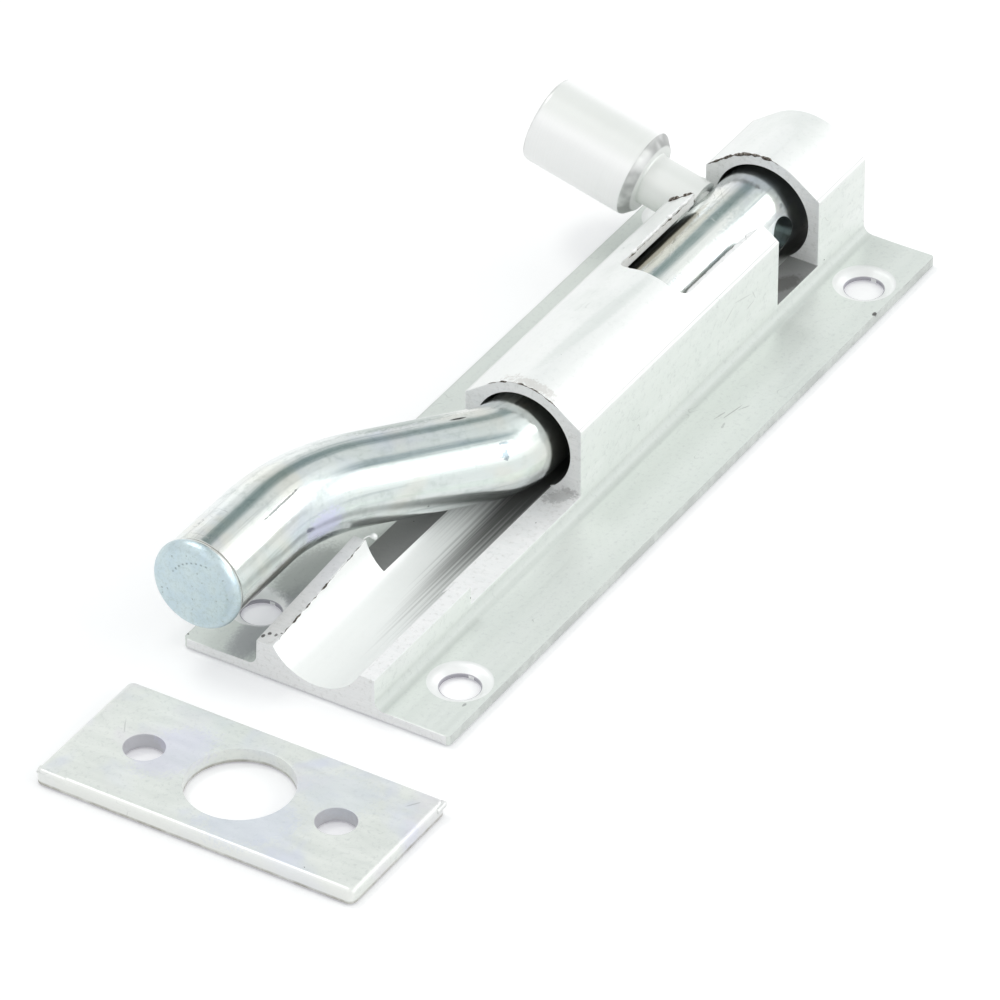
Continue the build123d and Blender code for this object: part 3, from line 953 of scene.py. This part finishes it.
def make_knob():
    """The turned knob: spigot, stem, chamfered head and flat end, its edges a little rounded."""
    break_width = 0.15 * MM
    stem, head, spigot = 2.9 * MM, 5.0 * MM, 1.95 * MM
    stem_start, head_start, head_end = 0.02 * MM, 6.32 * MM, 19.82 * MM
    shoulder = 1.0 * MM
    end_chamfer = 0.4 * MM
    outline = [
        (-3.98 * MM, spigot),
        (stem_start, spigot),
        (stem_start, stem),
        (head_start - break_width, stem),
        (head_start, stem + break_width),
        (head_start, head - shoulder - break_width),
        (head_start + break_width / 2, head - shoulder + break_width / 2),
        (head_start + shoulder - break_width, head - break_width),
        (head_start + shoulder + break_width, head),
        (head_end - end_chamfer - break_width, head),
        (head_end - end_chamfer / 2, head - end_chamfer / 4),
        (head_end - end_chamfer / 4, head - end_chamfer / 2),
        (head_end, head - end_chamfer - break_width),
    ]
    stations = [(KNOB_SEAT + REST_WAY * along, radius, 0) for along, radius in outline]
    piece = swept_bar("knob_dressed", stations, KNOB_SIDES, TURNED)
    smooth(piece)
    return piece


def make_plate():
    """The keep plate, with the rims of its punched holes a little drawn in."""
    piece = merged_copy("keep_plate", "keep_plate_dressed")
    piece.data.materials.append(PLATED)
    top_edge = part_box("keep_plate")[1].z - 0.01 * MM
    break_edges(piece, RIM_BREAK, lambda edge: min(corner.co.z for corner in edge.verts) > top_edge)
    smooth(piece)
    return piece


def crown_height(y):
    """Height in millimetres of the housing's outline at a place across it: the crown, then its flanks."""
    radius, tilt = CROWN_RADIUS / MM, FLANK_SLOPE
    edge = radius * sin(tilt)
    if abs(y) <= edge:
        return BORE_HEIGHT / MM + sqrt(radius * radius - y * y)
    return BORE_HEIGHT / MM + radius * cos(tilt) - (abs(y) - edge) * tan(tilt)


def across_crown(x, start, end, steps=8):
    """Points in millimetres over the housing's outline at one place along it."""
    stops = [start + (end - start) * number / steps for number in range(steps + 1)]
    return [(x, y, crown_height(y)) for y in stops]


def guide_edge(x):
    """A point in millimetres on the inner edge of the front guide's left wall."""
    share = (x - GUIDE_REAR / MM) / ((GUIDE_FRONT - GUIDE_REAR) / MM)
    top = (LEFT_GUIDE_REAR_TOP + (LEFT_GUIDE_FRONT_TOP - LEFT_GUIDE_REAR_TOP) * share) / MM
    return x, -sqrt((BORE_RADIUS / MM) ** 2 - (BORE_HEIGHT / MM - top) ** 2), top


def along_slot(side, shift, rise, start, end):
    """Two points in millimetres along a side of the slot, shifted across and up from the crown there."""
    y = side / MM
    return [(x, y + shift, crown_height(y) + rise) for x in (start, end)]


def lay_beads(beads):
    """Lays beads of torn metal on what doesn't move."""
    for bead in beads:
        piece = torn_bead(*bead)
        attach(piece, "frame")


def make_burrs():
    """What the saw and the slot cutter left on the housing's edges, and the chip at its front guide."""
    ring_x, rear_x, mouth_x = RING_FRONT / MM, BARREL_REAR / MM, BARREL_FRONT / MM
    corner = [(rear_x, -3.55, 13.1), (rear_x, -3.5, 12.0)]
    right_lip = along_slot(SLOT_RIGHT, -0.2, -0.45, -15.0, -31.0)
    right_burr = along_slot(SLOT_RIGHT, -0.5, -0.25, -16.6, -30.0)
    left_lip = along_slot(SLOT_LEFT, -0.05, -0.1, -15.4, -31.2)
    left_burr = along_slot(SLOT_LEFT, 0.0, -0.4, -16.5, -31.0)
    chip = Vector(guide_edge(GUIDE_REAR / MM))
    chip_steps = ((0.3, -0.3, -0.1), (-0.2, 0.0, 0.25), (-0.7, 0.45, 0.2), (-1.0, 0.8, -0.2))
    lay_beads((
        ("ring_burr", across_crown(ring_x, -7.0, 2.0), BURR, 0.19, 0.25, 0.38, 1.0),
        ("wall_end_burr", across_crown(rear_x, -6.7, -3.6), BURR, 0.24, 0.40, 0.30, 2.0),
        ("wall_corner_burr", corner, BURR, 0.10, 0.20, 0.35, 3.0),
        ("mouth_burr", across_crown(mouth_x, -4.4, 4.4), BURR, 0.10, 0.30, 0.42, 4.0),
        ("slot_lip", right_lip, SAWN, 0.45, 0.10, 0.20, 5.0),
        ("slot_burr", right_burr, BURR, 0.06, 0.30, 0.45, 5.0),
        ("slot_left_lip", left_lip, SAWN, 0.24, 0.40, 0.36, 10.0),
        ("slot_left_burr", left_burr, BURR, 0.11, 0.40, 0.46, 11.0),
        ("guide_burr", [guide_edge(49.9), guide_edge(31.5)], BURR, 0.10, 0.35, 0.44, 6.0),
        ("guide_chip", [chip + Vector(step) for step in chip_steps], EXTRUDED, 0.34, 0.30, 0.30, 7.0),
    ))


def make_plate_lips():
    """The lips that the shear pushed out at two corners of the keep plate."""
    low, high = (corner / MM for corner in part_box("keep_plate"))
    rise = high.z / 2
    left = [(high.x - 1.4, low.y + 0.4, rise + 0.4), (high.x - 0.5, low.y + 0.4, rise + 0.4),
            (high.x - 0.4, low.y + 4.0, rise + 0.4)]
    right = [(low.x + 0.25, high.y - 0.6, rise + 0.3), (low.x + 0.3, high.y - 0.05, rise + 0.4),
             (low.x + 1.8, high.y - 0.2, rise + 0.2)]
    lay_beads((
        ("plate_lip_left", left, PLATED, 0.46, 0.05, 0.05, 8.0),
        ("plate_lip_right", right, PLATED, 0.36, 0.05, 0.1, 9.0),
    ))


def dress(piece, node, body):
    """Hides the node that a piece stands for and attaches the piece to what it moves with."""
    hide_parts(node)
    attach(piece, body)


dress(make_housing(), "housing", "frame")
dress(make_rod(), "bolt_rod", "bolt")
dress(make_knob(), "knob", "bolt")
dress(make_plate(), "keep_plate", "frame")
make_burrs()
make_plate_lips()


# Stage

def seen_rays(graph, rays):
    """1 for rays that show a background: straight to the camera, by reflection or through glass."""
    shown = graph.math("MAXIMUM", rays["Is Camera Ray"], rays["Is Glossy Ray"])
    return graph.math("MAXIMUM", shown, rays["Is Transmission Ray"])


def make_floor():
    """A large pale floor that stays white to the camera and keeps the soft shadows."""
    half, under = 6.0, -0.22 * MM
    mesh = bpy.data.meshes.new("floor")
    corners = [(-half, -half, under), (half, -half, under), (half, half, under), (-half, half, under)]
    mesh.from_pydata(corners, [], [(0, 1, 2, 3)])
    floor = new_object("floor", mesh)
    material = bpy.data.materials.new("pale_floor")
    material.use_nodes = True
    graph = Graph(material.node_tree)
    graph.tree.nodes.remove(graph.tree.nodes["Principled BSDF"])
    shown = seen_rays(graph, graph.add("ShaderNodeLightPath").outputs)
    plain = graph.add("ShaderNodeBsdfDiffuse", {"Color": (0.8, 0.8, 0.8)}).outputs[0]
    shaded = graph.add("ShaderNodeBsdfDiffuse", {"Color": (0.80, 0.81, 0.77)}).outputs[0]
    lifted = graph.add("ShaderNodeEmission", {"Color": (0.25, 0.245, 0.28), "Strength": 1.0}).outputs[0]
    white = graph.add("ShaderNodeAddShader", {0: shaded, 1: lifted}).outputs[0]
    surface = graph.add("ShaderNodeMixShader", {0: shown, 1: plain, 2: white}).outputs[0]
    graph.feed(graph.tree.nodes["Material Output"].inputs["Surface"], surface)
    mesh.materials.append(material)


def sky_direction(azimuth, elevation):
    """A unit vector from an azimuth, counted from +X towards +Y, and an elevation."""
    turn, rise = radians(azimuth), radians(elevation)
    return (cos(rise) * cos(turn), cos(rise) * sin(turn), sin(rise))


def make_world():
    """White to the camera; in reflections it has soft boxes and dark gaps between them, as a studio has."""
    world = bpy.data.worlds.new("studio")
    bpy.context.scene.world = world
    world.use_nodes = True
    graph = Graph(world.node_tree)
    rays = graph.add("ShaderNodeLightPath").outputs
    shown = seen_rays(graph, rays)
    direction = graph.add("ShaderNodeTexCoord").outputs["Generated"]
    unseen = graph.less(1.0, rays["Is Camera Ray"])
    studio = graph.mix(unseen, (1, 1, 1), (0.92, 0.93, 0.93))
    for azimuth, elevation, inner, outer, colour in STUDIO:
        toward = graph.dot(direction, sky_direction(azimuth, elevation))
        gap = graph.span(toward, cos(radians(outer)), cos(radians(inner)))
        studio = graph.tint(studio, colour, gap, unseen)
    light = graph.mix(shown, (0.80, 0.81, 0.82), studio)
    graph.feed(graph.tree.nodes["Background"].inputs["Color"], light)


def make_light(name, direction, distance, size, power):
    """A square soft box that looks at the object."""
    lamp = bpy.data.lights.new(name, "AREA")
    lamp.shape = "SQUARE"
    lamp.size = size
    lamp.energy = power
    holder = new_object(name, lamp)
    away = Vector(direction).normalized()
    holder.location = away * distance
    holder.rotation_euler = away.to_track_quat("Z", "Y").to_euler()


def make_camera():
    """The photograph's view: a long lens, looking down along the bolt from its nose."""
    lens = bpy.data.cameras.new("camera")
    lens.lens = CAMERA_LENS
    lens.sensor_width = SENSOR_WIDTH
    lens.clip_start = 0.01
    lens.clip_end = 50.0
    camera = new_object("camera", lens)
    turn = Matrix((CAMERA_RIGHT, CAMERA_UP, CAMERA_BACK)).transposed().to_4x4()
    camera.matrix_world = Matrix.Translation(CAMERA_PLACE) @ turn
    bpy.context.scene.camera = camera


make_floor()
make_world()
make_light("key", sky_direction(262, 62), 1.2, 0.3, 2.2)
make_light("rim", sky_direction(142, 27), 1.2, 0.6, 2.0)
make_light("side", sky_direction(96, 27), 1.2, 0.55, 1.8)
make_camera()
bpy.context.scene.view_settings.view_transform = "Standard"
